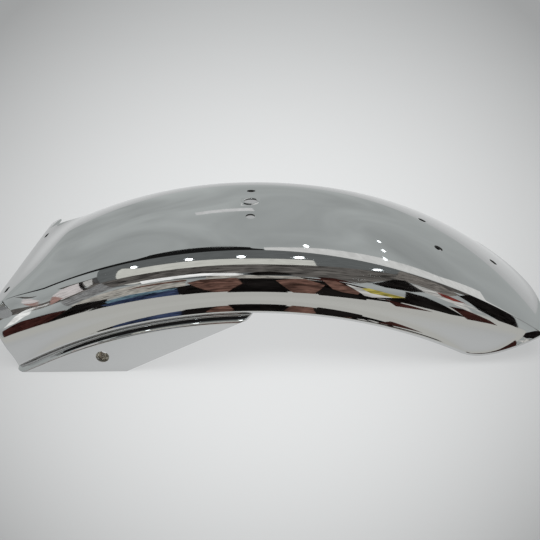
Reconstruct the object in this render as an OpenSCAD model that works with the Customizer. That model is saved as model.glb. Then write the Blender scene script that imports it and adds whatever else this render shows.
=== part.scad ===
// Rear mudguard for a motorcycle: a pressed sheet blade that arches over the wheel, with a shouldered
// section, a flared lip with a rolled bead all round the sides and the tail, a flattened front flange
// with two ears, and a joggled side plate with a weld nut on each side. Millimetres, +Z up,
// tail toward +X, left side of the machine toward -Y. The arch is drawn about the wheel axle.

/* [Arch] */
// Radius of the arch at the middle of the crown, measured from the wheel axle
arch_r = 360; // [320:1:420]
// Angle of the front edge ahead of the top of the arch
front_deg = 29.3; // [28.6:0.1:34]
// Angle behind the top at which the straight sides give way to the rounded tail
tail_start_deg = 26.5; // [20:0.1:32]
// Length of the rounded tail beyond that angle, along the crown
tail_len = 63.5; // [48:0.5:90]
// Fullness of the middle of the tail outline, low for a pointed tip and high for a blunt one
tail_fullness = 1.5; // [1.2:0.05:2.4]
// Fullness of the tail outline at its two corners, low for cut corners and high for full ones
corner_fullness = 1.9; // [1.2:0.05:2.4]

/* [Section] */
// Thickness of the pressed sheet
sheet_t = 1.2; // [0.8:0.1:2]
// Width of the crown between its two creases
crown_w = 122.7; // [100:0.1:145]
// Extra width that the crown gains on each side between the top of the arch and the tail
crown_spread = 9; // [0:0.5:11]
// Angle behind the top at which the crown has gained all its extra width
spread_end_deg = 32; // [26:0.5:38]
// Radius of the crown across its width
crown_r = 245; // [160:1:400]
// Angle of the shoulder's outward normal above the horizontal, just below the crease
shoulder_top_deg = 58.5; // [45:0.5:65]
// Radius of the shoulder between the crease and the lip
shoulder_r = 33.5; // [28:0.5:44]
// Angle of the side's outward normal above the horizontal, where the lip starts
side_deg = 6; // [2:1:15]
// Width of the flared lip that follows the sides and the tail
lip_w = 7; // [5:0.5:10]
// Angle by which the lip flares outward at its edge
lip_deg = 38; // [20:1:45]
// Diameter of the rolled bead on the edge of the lip
bead_d = 4.8; // [3.6:0.1:6]

/* [Front flange] */
// Angle ahead of the top at which the crown starts to flatten
flatten_start_deg = 22.5; // [16:0.5:24]
// Angle ahead of the top at which the crown has become flat across
flatten_end_deg = 27.8; // [25:0.1:28.4]
// Depth of the flat flange below the crown line
flange_drop = 4.3; // [2:0.1:8]
// Width over the two ears of the flange
ear_span = 154; // [140:1:165]
// Length of each ear along the arch
ear_len = 11.5; // [8:0.5:16]
// Distance between the middles of the two slots
slot_pitch = 87.8; // [60:0.1:100]
// Length of each slot across the blade
slot_len = 7.4; // [5:0.2:12]
// Width of each slot
slot_w = 2.8; // [2:0.1:5]
// Distance from the middle of a slot to the front edge
slot_edge = 7.2; // [5:0.2:9]

/* [Crown holes] */
// Diameter of the plain fixing holes
fix_hole_d = 6.5; // [5:0.1:8]
// Distance between the two fixing holes at the top of the arch
top_pitch = 47.8; // [40:0.1:60]
// Diameter of the middle hole at the top of the arch
centre_hole_d = 9.6; // [8:0.1:12]
// Outside diameter of the raised rim round the middle hole
rim_d = 12.8; // [12.4:0.1:18]
// Height of the raised rim above the crown
rim_h = 0.7; // [0.3:0.1:1.5]
// Angle of the rear pair of holes behind the top
rear_pair_deg = 21.7; // [16:0.1:25]
// Distance between the rear pair of holes
rear_pitch = 49.1; // [40:0.1:60]
// Angle of the single tail hole behind the top
tail_hole_deg = 30.8; // [28:0.1:32]

/* [Side plates] */
// Thickness of the side plates
plate_t = 2.5; // [2:0.1:3.5]
// Depth of the flat part of the plate, from the end of its outward step down to the bottom edge
plate_depth = 39.3; // [32:0.1:48]
// Length of the plate's bottom edge
plate_len = 73; // [64:0.5:90]
// Slope of the plate's slanted rear edge
plate_slope_deg = 26.2; // [22:0.1:30]
// Angle behind the top at which the plate ends under the bead
plate_end_deg = 2.4; // [1:0.2:6]
// Height of the cut corner at the front of the plate
plate_corner = 6.4; // [3:0.2:10]
// Distance by which the cut corner sets the front of the bottom edge back
corner_set = 1.4; // [0.5:0.1:4]
// Distance from the edge of the sheet in to where the plate starts to step outward under the bead
step_below = 2.7; // [2.2:0.1:4]
// Height over which the plate steps outward
step_h = 4.9; // [4:0.1:7]
// Distance by which the plate steps outward from its weld strip
step_out = 7.7; // [6:0.1:9]
// Angle of shoulder bend that the plate's weld strip covers inside the sheet
weld_strip_deg = 22; // [14:1:30]
// Width of the bevel along the slanted edge
bevel_w = 1.2; // [0.4:0.1:2]
// Diameter of the hole in each side plate
plate_hole_d = 8.6; // [8.2:0.1:10]
// Angle of the plate hole ahead of the top of the arch
plate_hole_deg = 18.8; // [17:0.1:20]
// Distance of the plate hole's middle below the end of the outward step, toward the axle
plate_hole_below = 11.2; // [10.5:0.1:13]

/* [Weld nuts] */
// Width across the flats of each weld nut
nut_af = 13; // [12:0.5:15]
// Height of each weld nut
nut_h = 6.5; // [5:0.5:8]
// Bore of each weld nut, at the root of its thread
nut_bore_d = 6.8; // [6.6:0.1:7]

/* [Hidden] */
$fn = 48;
deg_per_rad = 180 / PI;
// clearance between the plate's weld strip and the sheet
weld_gap = 0.2;
// facet counts along each part of the section and of the arch
crown_n = 7;
shoulder_n = 8;
lip_n = 5;
flange_n = 6;
arch_n = 20;
tail_n = 6;
tail_lip_n = 4;
bead_n = 9;
// length of the cutters that pass through the sheet
cut_h = 24;
// distance from the edge of the sheet to the middle of the bead, as a share of the bead's radius
bead_reach = 0.95;
// half the angle over which the bead's surface runs, the rest being merged into the sheet
bead_turn_deg = 150;
// largest share of the tail's reach that its flared lip may take
lip_share = 0.6;
// how far each ear reaches in under the crown, and how far its top lies below the flange
ear_root = 8;
ear_sink = 0.12;
// the plate is turned about the axle between these angles, measured back from the tail
sweep_from_deg = 75;
sweep_deg = 50;
// thickness of the cutter that bevels the slanted edge
bevel_cut = 10;

crown_half = crown_w / 2;
crown_deg = asin(crown_half / crown_r);
crease_drop = crown_r * (1 - cos(crown_deg));
crown_arc = crown_r * crown_deg / deg_per_rad;
shoulder_arc = shoulder_r * (shoulder_top_deg - side_deg) / deg_per_rad;
half_arc = crown_arc + shoulder_arc + lip_w;
lip_r = lip_w * deg_per_rad / lip_deg;
bead_r = bead_d / 2;
tail_deg = tail_len / arch_r * deg_per_rad;
tip_deg = tail_start_deg + tail_deg;
flange_r = arch_r - flange_drop;
slot_deg = front_deg - slot_edge / arch_r * deg_per_rad;
// the plate's step hangs from the edge of the sheet, and its other sizes from the step
strip_inset = sheet_t + weld_gap;
side_y = crown_half + shoulder_r * (cos(side_deg) - cos(shoulder_top_deg));
edge_drop = crease_drop + shoulder_r * (sin(shoulder_top_deg) - sin(side_deg)) + lip_w * cos(side_deg);
strip_y = side_y - strip_inset * cos(side_deg);
plate_y = strip_y + step_out;
step_top_r = arch_r - edge_drop - step_below;
step_low_r = step_top_r - step_h;
plate_base_h = step_low_r - plate_depth;
plate_front_x = (plate_base_h + plate_corner) * tan(front_deg) - corner_set;
plate_rear_x = plate_front_x - plate_len;
plate_hole_r = step_low_r - plate_hole_below;
plate_hole_x = plate_hole_r * sin(plate_hole_deg);
plate_hole_z = plate_hole_r * cos(plate_hole_deg);
// a length that passes right across the plate
slant_run = arch_r / 2;
// the mudguard stands on its side plates, centred on its own length
front_x = flange_r * sin(front_deg);
lip_kick = lip_r * (1 - cos(lip_deg));
tail_x = (arch_r + lip_kick) * sin(tip_deg) + bead_reach * bead_r * cos(tip_deg - lip_deg) + bead_r;
shift_x = (front_x - tail_x) / 2;

function unit(v) = v / norm(v);
function smooth(a, b, x) = let(t = min(1, max(0, (x - a) / (b - a)))) t * t * (3 - 2 * t);

// one station of the section: distance across, drop below the crown, tilt of the normal, arc length
function crown_at(a) = [crown_r * sin(a), crown_r * (1 - cos(a)), a, crown_r * a / deg_per_rad];
function shoulder_at(h) = [
    crown_half + shoulder_r * (cos(h) - cos(shoulder_top_deg)),
    crease_drop + shoulder_r * (sin(shoulder_top_deg) - sin(h)),
    90 - h,
    crown_arc + shoulder_r * (shoulder_top_deg - h) / deg_per_rad
];
function lip_at(u) = let(s = shoulder_at(side_deg)) [
    s[0] + u * sin(side_deg), s[1] + u * cos(side_deg), s[2], s[3] + u
];
half_stations = concat(
    [for (i = [0:crown_n]) crown_at(crown_deg * i / crown_n)],
    [for (i = [1:shoulder_n]) shoulder_at(shoulder_top_deg - (shoulder_top_deg - side_deg) * i / shoulder_n)],
    [for (i = [1:lip_n]) lip_at(lip_w * sin(90 * i / lip_n))]
);
side_n = len(half_stations) - 1;
stations = concat(
    [for (i = [side_n:-1:1]) let(s = half_stations[i]) [-s[0], s[1], -s[2], -s[3]]],
    half_stations
);
last_j = len(stations) - 1;

// outline of the tail, as the angle it reaches at each arc length from the middle
function tail_out(s) = tail_start_deg
    + tail_deg * pow(max(0, 1 - pow(abs(s) / half_arc, tail_fullness)), 1 / corner_fullness);
function tail_slope(s) = let(a = abs(s), h = 0.05, b = min(a + h, half_arc), c = max(a - h, 0))
    (tail_out(c) - tail_out(b)) / max(b - c, 0.001) * arch_r / deg_per_rad;
function tail_cos(s) = 1 / sqrt(1 + pow(tail_slope(s), 2));

// outward lift of the lip at a distance e from the edge
function lift(e) = lip_r * (1 - cos(lip_deg * max(0, 1 - e / lip_w)));
// the crown is pressed flat toward the front edge
function flat_share(deg) = smooth(flatten_start_deg, flatten_end_deg, -deg);
function flat_drop(st, deg) = let(a = abs(st[3]), w = flat_share(deg))
    a <= crown_arc ? st[1] + w * (flange_drop - st[1])
    : st[1] + w * (flange_drop - crease_drop) * pow(max(0, 1 - (a - crown_arc) / shoulder_arc), 2);
// the crown widens toward the tail, and the shoulder takes up the difference
function spread_share(st) = pow(min(1, max(0, 1 - (abs(st[3]) - crown_arc) / shoulder_arc)), 2);
function widening(st, deg) = 1 + crown_spread / crown_half * smooth(0, spread_end_deg, deg) * spread_share(st);
function sheet_point(deg, st, e) = let(
    k = lift(min(e, half_arc - abs(st[3]))),
    r = arch_r - flat_drop(st, deg) + k * cos(st[2]),
    y = st[0] * widening(st, deg) + k * sin(st[2]))
    [r * sin(deg), y, r * cos(deg)];

// rows of the sheet from the front edge to the tail outline
row_degs = concat(
    [for (i = [0:flange_n - 1]) -front_deg + (front_deg - flatten_start_deg) * i / flange_n],
    [for (i = [0:arch_n]) -flatten_start_deg + (tail_start_deg + flatten_start_deg) * i / arch_n]
);
last_main = len(row_degs) - 1;
function tail_row(j, i) = let(
    st = stations[j],
    reach = (tail_out(st[3]) - tail_start_deg) * arch_r / deg_per_rad,
    c = tail_cos(st[3]),
    lip = min(lip_w / c, lip_share * reach),
    u = i <= tail_n ? (reach - lip) * i / tail_n : reach - lip + lip * (i - tail_n) / tail_lip_n)
    sheet_point(tail_start_deg + u / arch_r * deg_per_rad, st, (reach - u) * c);
outer = concat(
    [for (d = row_degs) [for (st = stations) sheet_point(d, st, lip_w)]],
    [for (i = [1:tail_n + tail_lip_n]) [for (j = [0:last_j])
        (j == 0 || j == last_j) ? sheet_point(tail_start_deg, stations[j], 0) : tail_row(j, i)]]
);
last_i = len(outer) - 1;

// outward normal of the sheet at each point, from its neighbours
function along(i, j) = (j == 0 || j == last_j) && i >= last_main
    ? outer[last_i][j == 0 ? 1 : last_j - 1] - outer[last_main - 1][j]
    : outer[min(i + 1, last_i)][j] - outer[max(i - 1, 0)][j];
function across(i, j) = let(r = (j == 0 || j == last_j) ? min(i, last_main) : i)
    outer[r][min(j + 1, last_j)] - outer[r][max(j - 1, 0)];
normals = [for (i = [0:last_i]) [for (j = [0:last_j]) unit(cross(along(i, j), across(i, j)))]];
inner = [for (i = [0:last_i]) [for (j = [0:last_j]) outer[i][j] - sheet_t * normals[i][j]]];

// the edge that carries the bead: left side, tail outline, right side
border = concat(
    [for (i = [0:last_main]) [i, 0]],
    [for (j = [1:last_j - 1]) [last_i, j]],
    [for (i = [last_main:-1:0]) [i, last_j]]
);
last_k = len(border) - 1;
front_dir = [cos(front_deg), 0, sin(front_deg)];
function edge_point(k) = outer[border[k][0]][border[k][1]];
function edge_dir(k) = k == 0 ? front_dir : k == last_k ? -front_dir : unit(edge_point(k + 1) - edge_point(k - 1));
function bead_mid(k) = let(n = normals[border[k][0]][border[k][1]], d = unit(cross(edge_dir(k), n)))
    edge_point(k) - n * sheet_t / 4 + d * bead_r * bead_reach;
function bead_ring(k) = let(n = normals[border[k][0]][border[k][1]], d = unit(cross(edge_dir(k), n)))
    [for (m = [0:bead_n - 1]) let(a = bead_turn_deg * (1 - 2 * m / (bead_n - 1)))
        bead_mid(k) + bead_r * (cos(a) * d + sin(a) * n)];

// vertex numbers of the closed sheet
row_size = last_j + 1;
inner_from = (last_i + 1) * row_size;
bead_from = 2 * inner_from;
cap_from = bead_from + (last_k + 1) * bead_n;
function vid(i, j) = ((j == 0 || j == last_j) ? min(i, last_main) : i) * row_size + j;
function ring_id(k, m) = m == 0 ? vid(border[k][0], border[k][1])
    : m == bead_n + 1 ? inner_from + vid(border[k][0], border[k][1])
    : bead_from + k * bead_n + m - 1;
function proper(f) = f[0] != f[1] && f[1] != f[2] && f[2] != f[0];
sheet_points = concat(
    [for (r = outer) for (p = r) p],
    [for (r = inner) for (p = r) p],
    [for (k = [0:last_k]) for (p = bead_ring(k)) p],
    [bead_mid(0), bead_mid(last_k)]
);
sheet_faces = [for (f = concat(
    [for (i = [0:last_i - 1]) for (j = [0:last_j - 1]) each [
        [vid(i, j), vid(i, j + 1), vid(i + 1, j + 1)],
        [vid(i, j), vid(i + 1, j + 1), vid(i + 1, j)],
        [inner_from + vid(i, j), inner_from + vid(i + 1, j + 1), inner_from + vid(i, j + 1)],
        [inner_from + vid(i, j), inner_from + vid(i + 1, j), inner_from + vid(i + 1, j + 1)]
    ]],
    [for (k = [0:last_k - 1]) for (m = [0:bead_n]) each [
        [ring_id(k, m), ring_id(k + 1, m), ring_id(k + 1, m + 1)],
        [ring_id(k, m), ring_id(k + 1, m + 1), ring_id(k, m + 1)]
    ]],
    [for (j = [0:last_j - 1]) each [
        [vid(0, j + 1), vid(0, j), inner_from + vid(0, j)],
        [vid(0, j + 1), inner_from + vid(0, j), inner_from + vid(0, j + 1)]
    ]],
    [for (m = [0:bead_n + 1]) let(n = (m + 1) % (bead_n + 2)) each [
        [cap_from, ring_id(0, m), ring_id(0, n)],
        [cap_from + 1, ring_id(last_k, n), ring_id(last_k, m)]
    ]]
)) if (proper(f)) f];

// places a feature on the crown at an angle behind the top
module on_arch(deg) rotate([0, deg, 0]) translate([0, 0, arch_r]) children();
// stands the whole mudguard on its side plates
module placed() translate([shift_x, 0, -plate_base_h]) children();
module both_ways() { children(); mirror([0, 1, 0]) children(); }

module pressed_sheet() polyhedron(points = sheet_points, faces = sheet_faces, convexity = 8);

// one flat ear of the front flange, with a half round end
module ear() {
    tilt = -front_deg + ear_len / 2 / flange_r * deg_per_rad;
    root = crown_half - ear_root;
    reach = ear_span / 2 - ear_len / 2 - root;
    rotate([0, tilt, 0]) translate([0, root, flange_r - sheet_t - ear_sink]) {
        translate([-ear_len / 2, 0, 0]) cube([ear_len, reach, sheet_t]);
        translate([0, reach, 0]) cylinder(d = ear_len, h = sheet_t);
    }
}

module slot_cutter() on_arch(-slot_deg) both_ways() translate([0, slot_pitch / 2, -cut_h / 2]) {
    straight = slot_len - slot_w;
    translate([-slot_w / 2, -straight / 2, 0]) cube([slot_w, straight, cut_h]);
    for (side = [-1, 1]) translate([0, side * straight / 2, 0]) cylinder(d = slot_w, h = cut_h);
}

module hole_cutter(d, y = 0) translate([0, y, -cut_h / 2]) cylinder(d = d, h = cut_h);

module mudguard_blade() color("gainsboro") placed() difference() {
    union() {
        pressed_sheet();
        both_ways() ear();
        on_arch(0) translate([0, 0, -sheet_t / 2]) cylinder(d = rim_d, h = sheet_t / 2 + rim_h);
    }
    slot_cutter();
    on_arch(0) {
        hole_cutter(centre_hole_d);
        both_ways() hole_cutter(fix_hole_d, top_pitch / 2);
    }
    on_arch(rear_pair_deg) both_ways() hole_cutter(fix_hole_d, rear_pitch / 2);
    on_arch(tail_hole_deg) hole_cutter(fix_hole_d);
}

// side plate section, as [radius from the axle, distance from the middle]
wall_tilts = [for (i = [0:6]) 90 - side_deg - weld_strip_deg * (1 - i / 6)];
function wall_at(tilt, inset) = let(s = shoulder_at(90 - tilt))
    [arch_r - s[1] - inset * cos(tilt), s[0] - inset * sin(tilt)];
step_deg = atan2(plate_y - strip_y, step_top_r - step_low_r);
step_shift = plate_t * tan(step_deg / 2);
plate_section = concat(
    [for (t = wall_tilts) wall_at(t, strip_inset)],
    [[step_top_r, strip_y], [step_low_r, plate_y], [plate_base_h / 2, plate_y],
     [plate_base_h / 2, plate_y - plate_t], [step_low_r - step_shift, plate_y - plate_t],
     [step_top_r - step_shift, strip_y - plate_t]],
    [for (i = [6:-1:0]) wall_at(wall_tilts[i], strip_inset + plate_t)]
);
// side plate outline, seen from the side with the tail to the right
outline_top = arch_r;
plate_outline = [
    [-outline_top * sin(front_deg), outline_top * cos(front_deg)],
    [-(plate_base_h + plate_corner) * tan(front_deg), plate_base_h + plate_corner],
    [-plate_front_x, plate_base_h],
    [-plate_rear_x, plate_base_h],
    [-plate_rear_x + slant_run * cos(plate_slope_deg), plate_base_h + slant_run * sin(plate_slope_deg)],
    [0, outline_top + slant_run]
];

module plate_wedge() linear_extrude(2 * plate_y, center = true) intersection() {
    polygon(plate_outline);
    polygon([[-slant_run, 0], [0, 0], 2 * outline_top * [sin(plate_end_deg), cos(plate_end_deg)],
             [-slant_run, 2 * outline_top]]);
}

module side_plate() placed() difference() {
    intersection() {
        rotate([90, 0, 0]) rotate_extrude(angle = sweep_deg, start = sweep_from_deg, $fn = 180)
            polygon(plate_section);
        rotate([90, 0, 0]) plate_wedge();
    }
    translate([-plate_hole_x, -plate_y - 1, plate_hole_z]) rotate([-90, 0, 0])
        cylinder(d = plate_hole_d, h = plate_t + 2);
    translate([-plate_rear_x, -plate_y, plate_base_h]) rotate([0, -plate_slope_deg, 0])
        rotate([45, 0, 0]) translate([-slant_run / 2, bevel_w / sqrt(2) - bevel_cut, -bevel_cut / 2])
            cube([2 * slant_run, bevel_cut, bevel_cut]);
}

module weld_nut() placed() translate([-plate_hole_x, -plate_y + plate_t, plate_hole_z])
    rotate([-90, 0, 0]) difference() {
        cylinder(d = nut_af / cos(30), h = nut_h, $fn = 6);
        translate([0, 0, -1]) cylinder(d = nut_bore_d, h = nut_h + 2);
    }

module left_side_plate() color("gainsboro") side_plate();
module right_side_plate() color("gainsboro") mirror([0, 1, 0]) side_plate();
module left_weld_nut() color("silver") weld_nut();
module right_weld_nut() color("silver") mirror([0, 1, 0]) weld_nut();

mudguard_blade();
left_side_plate();
right_side_plate();
left_weld_nut();
right_weld_nut();
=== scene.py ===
# %% [markdown]
# # A chromed rear mudguard
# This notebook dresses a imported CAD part: a motorcycle rear mudguard, pressed from one sheet of steel
# and chrome plated, with a joggled plate welded inside each shoulder and a nut behind each plate.
# The CAD gives the exact sizes. Blender gives the smooth bent sheet, the rolled edge and the mirror finish.

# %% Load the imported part
import math

import bmesh
import bpy
import numpy as np
from mathutils import Matrix, Vector


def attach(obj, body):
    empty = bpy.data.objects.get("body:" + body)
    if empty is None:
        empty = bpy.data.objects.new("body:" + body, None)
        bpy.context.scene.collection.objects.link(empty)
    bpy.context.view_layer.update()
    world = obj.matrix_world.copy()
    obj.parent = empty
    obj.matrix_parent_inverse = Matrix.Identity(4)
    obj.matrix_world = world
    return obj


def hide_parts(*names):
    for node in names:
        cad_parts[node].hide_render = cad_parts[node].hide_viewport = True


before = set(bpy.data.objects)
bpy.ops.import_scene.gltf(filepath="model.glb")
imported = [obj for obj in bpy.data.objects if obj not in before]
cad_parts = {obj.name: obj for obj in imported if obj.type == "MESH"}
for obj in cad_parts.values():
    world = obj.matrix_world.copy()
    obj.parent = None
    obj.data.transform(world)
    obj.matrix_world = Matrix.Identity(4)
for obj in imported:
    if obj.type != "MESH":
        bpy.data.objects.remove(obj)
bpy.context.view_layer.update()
print("nodes:", sorted(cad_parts))

# %% [markdown]
# ## Sizes of the pressing
# A mudguard is drawn about the wheel axle: every point of the sheet has an angle about the axle, a distance
# across the sheet and a drop below the arch line. The sizes are the CAD's own, in metres, so the smooth
# sheet made here lies on the faceted one. Angles are in degrees until they are used.

# %% Sizes of the sheet
MM = 0.001
AXLE = Vector((-23.307 * MM, 0, -273.271 * MM))   # the wheel axle, seen from the part's own origin
ARCH_R = 360 * MM
FRONT_DEG, TAIL_START_DEG, TAIL_LEN = 29.3, 26.5, 66.0 * MM
TAIL_FULL, CORNER_FULL = 1.5, 1.9                 # how full the rounded tail and its corners are
SHEET_T = 1.2 * MM
CROWN_HALF, CROWN_R = 61.35 * MM, 245 * MM
CROWN_SPREAD, SPREAD_END = 9 * MM, 32             # the crown widens this much, up to this angle
SHOULDER_TOP, SIDE_DEG, SHOULDER_R = 58.5, 7, 33.5 * MM
LIP_W, BEAD_R = 10.8 * MM, 1.8 * MM
FLARE_W, FLARE_DEG = 7.4 * MM, 12
FLAT_START, FLAT_END, FLANGE_DROP = 22.5, 27.8, 4.3 * MM

crown_deg = math.degrees(math.asin(CROWN_HALF / CROWN_R))
CROWN_ARC = CROWN_R * math.radians(crown_deg)
CREASE_DROP = CROWN_R * (1 - math.cos(math.radians(crown_deg)))
SHOULDER_ARC = SHOULDER_R * math.radians(SHOULDER_TOP - SIDE_DEG)
HALF_ARC = CROWN_ARC + SHOULDER_ARC + LIP_W
FLARE_R = FLARE_W / math.radians(FLARE_DEG)
print(f"half the sheet is {HALF_ARC / MM:.1f} mm wide along its surface")

# %% [markdown]
# ## The surface as functions
# One function gives the section: a shallow crown, a crease, a round shoulder and a straight side. The
# press rounds the crease a little, which is copied by averaging the section over a short stretch. A second
# function bends the section round the axle and flares the lip near the edge.

# %% Section and sheet surface
CREASE_SOFT = 0.7 * MM


def raw_section(arc):
    """Distance across and drop of the sharp section, for arc lengths of zero and more."""
    crown = np.clip(arc, 0, CROWN_ARC) / CROWN_R
    turn = np.clip((arc - CROWN_ARC) / SHOULDER_R, 0, SHOULDER_ARC / SHOULDER_R)
    high = math.radians(SHOULDER_TOP) - turn
    side = np.clip(arc - CROWN_ARC - SHOULDER_ARC, 0, None)
    top = math.radians(SHOULDER_TOP)
    across = CROWN_R * np.sin(crown) + SHOULDER_R * (np.cos(high) - math.cos(top))
    drop = CROWN_R * (1 - np.cos(crown)) + SHOULDER_R * (math.sin(top) - np.sin(high))
    low = math.radians(SIDE_DEG)
    return across + side * math.sin(low), drop + side * math.cos(low)


def section(arc):
    """Section with its crease rounded, and the tilt of its outward normal, for either side."""
    size, side = np.abs(arc), np.where(arc < 0, -1.0, 1.0)
    spread = np.linspace(-1, 1, 9) * CREASE_SOFT
    rows = [raw_section(np.abs(size + d)) for d in spread]
    signs = [np.where(size + d < 0, -1.0, 1.0) for d in spread]
    across = np.mean([r[0] * g for r, g in zip(rows, signs)], axis=0)
    drop = np.mean([r[1] for r in rows], axis=0)
    ahead, behind = raw_section(size + CREASE_SOFT), raw_section(np.abs(size - CREASE_SOFT))
    back = np.where(size - CREASE_SOFT < 0, -1.0, 1.0)
    tilt = np.arctan2(ahead[1] - behind[1], ahead[0] - back * behind[0])
    return across * side, drop, tilt * side


def lift(edge):
    """How far the lip flares outward at a distance from the edge of the sheet."""
    return FLARE_R * (1 - np.cos(math.radians(FLARE_DEG) * np.clip(1 - edge / FLARE_W, 0, 1)))


def smooth_step(low, high, x):
    """Rises from 0 to 1 between two places, level at both ends."""
    t = np.clip((x - low) / (high - low), 0, 1)
    return t * t * (3 - 2 * t)


def widening(deg):
    """How much wider the crown is toward the tail than at the top of the arch."""
    return 1 + CROWN_SPREAD / CROWN_HALF * smooth_step(0, SPREAD_END, deg)


def sheet_points(arc, deg, edge):
    """Points of the sheet's outer face, by arc across, degrees behind the top and distance to the edge."""
    across, drop, tilt = section(arc)
    size = np.abs(arc)
    flat = smooth_step(FLAT_START, FLAT_END, -deg)
    left = np.clip(1 - (size - CROWN_ARC) / SHOULDER_ARC, 0, 1) ** 2
    sunk = np.where(size <= CROWN_ARC, FLANGE_DROP - drop, (FLANGE_DROP - CREASE_DROP) * left)
    drop = drop + flat * sunk
    across = across * (1 + (widening(deg) - 1) * left)
    kick = lift(edge)
    radius = ARCH_R - drop + kick * np.cos(tilt)
    turn = np.radians(deg)
    return np.stack([radius * np.sin(turn) + AXLE.x, across + kick * np.sin(tilt),
                     radius * np.cos(turn) + AXLE.z], axis=-1)


print("edge of the sheet at the top of the arch:", np.round(sheet_points(HALF_ARC, 0.0, 0.0) / MM, 2))

# %% [markdown]
# ## The outline of the tail
# The blank is cut with straight sides and a rounded tail before it is pressed. The lip flares by the true
# distance to that outline, so the outline is laid out flat as a chain of short lines first.

# %% Outline of the blank, laid flat
def tail_reach(arc):
    """Length of the tail beyond its start, at each arc length across the sheet."""
    share = np.clip(1 - (np.abs(arc) / HALF_ARC) ** TAIL_FULL, 0, 1)
    return TAIL_LEN * share ** (1 / CORNER_FULL)


turns = np.linspace(0, math.pi, 361)
swing = np.cos(turns)
tail_across = HALF_ARC * np.sign(swing) * np.abs(swing) ** (2 / TAIL_FULL)
tail_along = ARCH_R * math.radians(TAIL_START_DEG) + TAIL_LEN * np.sin(turns) ** (2 / CORNER_FULL)
front_along = -ARCH_R * math.radians(FRONT_DEG) - LIP_W
outline = np.array([[front_along, HALF_ARC], *zip(tail_along, tail_across), [front_along, -HALF_ARC]])


def edge_distance(arc, deg):
    """Distance from points of the laid-out sheet to the nearest line of the outline."""
    points = np.stack([ARCH_R * np.radians(deg), arc], axis=-1)
    start, step = outline[:-1], np.diff(outline, axis=0)
    square = np.maximum((step ** 2).sum(-1), 1e-18)
    best = np.full(len(points), 1.0)
    for a, d, q in zip(start, step, square):
        share = np.clip(((points - a) @ d) / q, 0, 1)
        best = np.minimum(best, np.linalg.norm(points - a - share[:, None] * d, axis=1))
    return best


outline_len = float(np.linalg.norm(np.diff(outline, axis=0), axis=1).sum())
print("length of the outline in mm:", round(outline_len / MM))

# %% [markdown]
# ## Small mesh steps
# Three steps come back for every sheet: its faces are turned outward, a patch of it is opened for a hole,
# and an edge loop grows by one more row of faces.

# %% Mesh steps
def face_out(mesh, way):
    """Turns the faces of a sheet so that most of their area looks along a direction."""
    bmesh.ops.recalc_face_normals(mesh, faces=mesh.faces)
    mesh.normal_update()
    if sum(f.normal.dot(way) * f.calc_area() for f in mesh.faces) < 0:
        bmesh.ops.reverse_faces(mesh, faces=mesh.faces)


def open_patch(mesh, gone):
    """Takes out faces, halves each edge round the gap and returns those edges."""
    rim = [e for e in {e for f in gone for e in f.edges} if sum(f in gone for f in e.link_faces) == 1]
    bmesh.ops.delete(mesh, geom=gone, context="FACES")
    return [g for g in bmesh.ops.subdivide_edges(mesh, edges=rim, cuts=1)["geom_split"]
            if isinstance(g, bmesh.types.BMEdge) and g.is_boundary]


def grow(mesh, loop):
    """Extrudes a loop of edges and returns its new vertices and the new loop."""
    new = bmesh.ops.extrude_edge_only(mesh, edges=loop)["geom"]
    ring = {g for g in new if isinstance(g, bmesh.types.BMVert)}
    return ring, [g for g in new if isinstance(g, bmesh.types.BMEdge) and all(v in ring for v in g.verts)]


print("mesh steps:", [f.__name__ for f in (face_out, open_patch, grow)])

# %% [markdown]
# ## Pressing the sheet
# The sheet starts as a flat grid, like the blank. Every vertex keeps its place on the blank in a layer,
# and the surface function bends it. Rows beyond the straight sides fan out to the tail's outline. Columns
# are closer at the crease and the lip, where the sheet bends most.

# %% Blank grid and its bend
def spaced(*parts):
    """Joins stretches of (start, end, count) into one rising list of places."""
    places = [np.linspace(a, b, n + 1)[:-1] for a, b, n in parts]
    return np.concatenate(places + [[parts[-1][1]]])


half_columns = spaced((0, CROWN_ARC - 2 * MM, 30), (CROWN_ARC - 2 * MM, CROWN_ARC + 2 * MM, 9),
                      (CROWN_ARC + 2 * MM, HALF_ARC - FLARE_W, 18), (HALF_ARC - FLARE_W, HALF_ARC, 14))
columns = np.concatenate([-half_columns[:0:-1], half_columns])
main_rows = spaced((-FRONT_DEG, -FLAT_START, 26), (-FLAT_START, TAIL_START_DEG, 120))
tail_shares = 1 - (1 - np.linspace(0, 1, 53)[1:]) ** 1.5   # rows crowd toward the tail's edge

blade_mesh = bmesh.new()
place = blade_mesh.verts.layers.float_vector.new("place")
rows_n, columns_n = len(main_rows) + len(tail_shares) - 1, len(columns) - 1
bmesh.ops.create_grid(blade_mesh, x_segments=rows_n, y_segments=columns_n, size=1)
arcs, degs = [], []
for vert in blade_mesh.verts:
    row = round((vert.co.x + 1) / 2 * rows_n)
    arc = float(columns[round((vert.co.y + 1) / 2 * columns_n)])
    if row < len(main_rows):
        deg = float(main_rows[row])
    else:
        reach = float(tail_reach(arc)) * tail_shares[row - len(main_rows)]
        deg = TAIL_START_DEG + math.degrees(reach / ARCH_R)
    arcs.append(arc)
    degs.append(deg)
arcs, degs = np.array(arcs), np.array(degs)
edges = edge_distance(arcs, degs)
points = sheet_points(arcs, degs, edges)
for vert, arc, deg, edge, point in zip(blade_mesh.verts, arcs, degs, edges, points):
    vert[place] = (arc, deg, edge)
    vert.co = point
bmesh.ops.remove_doubles(blade_mesh, verts=blade_mesh.verts, dist=0.01 * MM)
face_out(blade_mesh, Vector((0, 0, 1)))
print("bent sheet:", len(blade_mesh.faces), "faces")

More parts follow.
